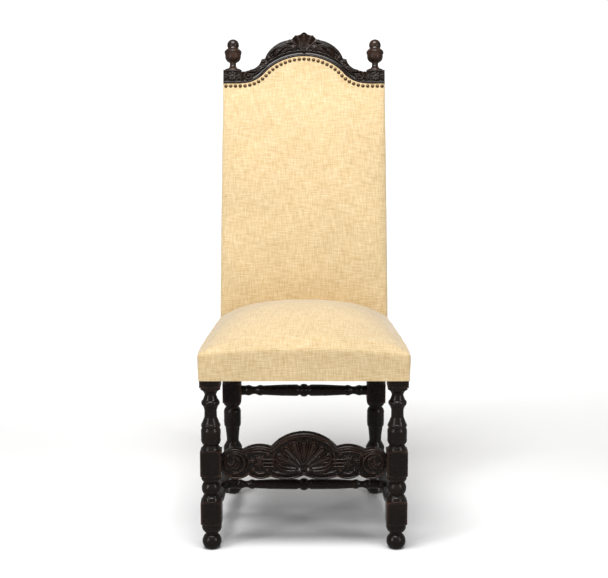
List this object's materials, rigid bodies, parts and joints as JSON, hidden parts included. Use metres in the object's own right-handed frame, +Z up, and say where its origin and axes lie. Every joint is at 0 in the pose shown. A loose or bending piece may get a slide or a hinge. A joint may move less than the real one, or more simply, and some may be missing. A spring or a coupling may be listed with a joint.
{
  "type": "upholstered side chair",
  "caption": "High-back side chair with turned legs and stretchers, a carved front stretcher and crest rail, finials, and an upholstered seat and raked back.",
  "frame": {"origin": "on the floor, at the middle of the chair's width and depth", "axes": "+Z up, -Y the way the chair faces, +X to the right of someone who looks at its front"},
  "size_m": [0.5146, 0.6647, 1.2659],
  "materials": {
    "dark_wood": "near-black stained hardwood, semi-gloss, worn reddish brown at the edges",
    "plain_wood": "bare beech, hidden under the upholstery",
    "linen": "cream linen with a slubbed plain weave",
    "stuffing": "curled hair stuffing",
    "webbing": "woven jute webbing",
    "hessian": "open plain-woven hessian",
    "dust_cloth": "black woven dust cloth",
    "nails": "dark antique brass, domed"
  },
  "bodies": {
    "root": {"back_cover": "linen", "back_hessian": "hessian", "back_lower_rail": "plain_wood", "back_pad": "stuffing", "back_post_left": "dark_wood", "back_post_right": "dark_wood", "back_webbing_across": "webbing", "back_webbing_along": "webbing", "corner_block_front_left": "plain_wood", "corner_block_front_right": "plain_wood", "corner_block_rear_left": "plain_wood", "corner_block_rear_right": "plain_wood", "crest_rail": "dark_wood", "dust_cover": "dust_cloth", "finial_left": "dark_wood", "finial_right": "dark_wood", "front_leg_left": "dark_wood", "front_leg_right": "dark_wood", "front_seat_rail": "plain_wood", "front_stretcher": "dark_wood", "medial_stretcher": "dark_wood", "nailheads": "nails", "outside_back_cover": "linen", "rear_seat_rail": "plain_wood", "rear_stretcher": "dark_wood", "seat_cover": "linen", "seat_hessian": "hessian", "seat_pad": "stuffing", "seat_webbing_across": "webbing", "seat_webbing_along": "webbing", "side_seat_rail_left": "plain_wood", "side_seat_rail_right": "plain_wood", "side_stretcher_left": "dark_wood", "side_stretcher_right": "dark_wood"}
  },
  "joints": []
}
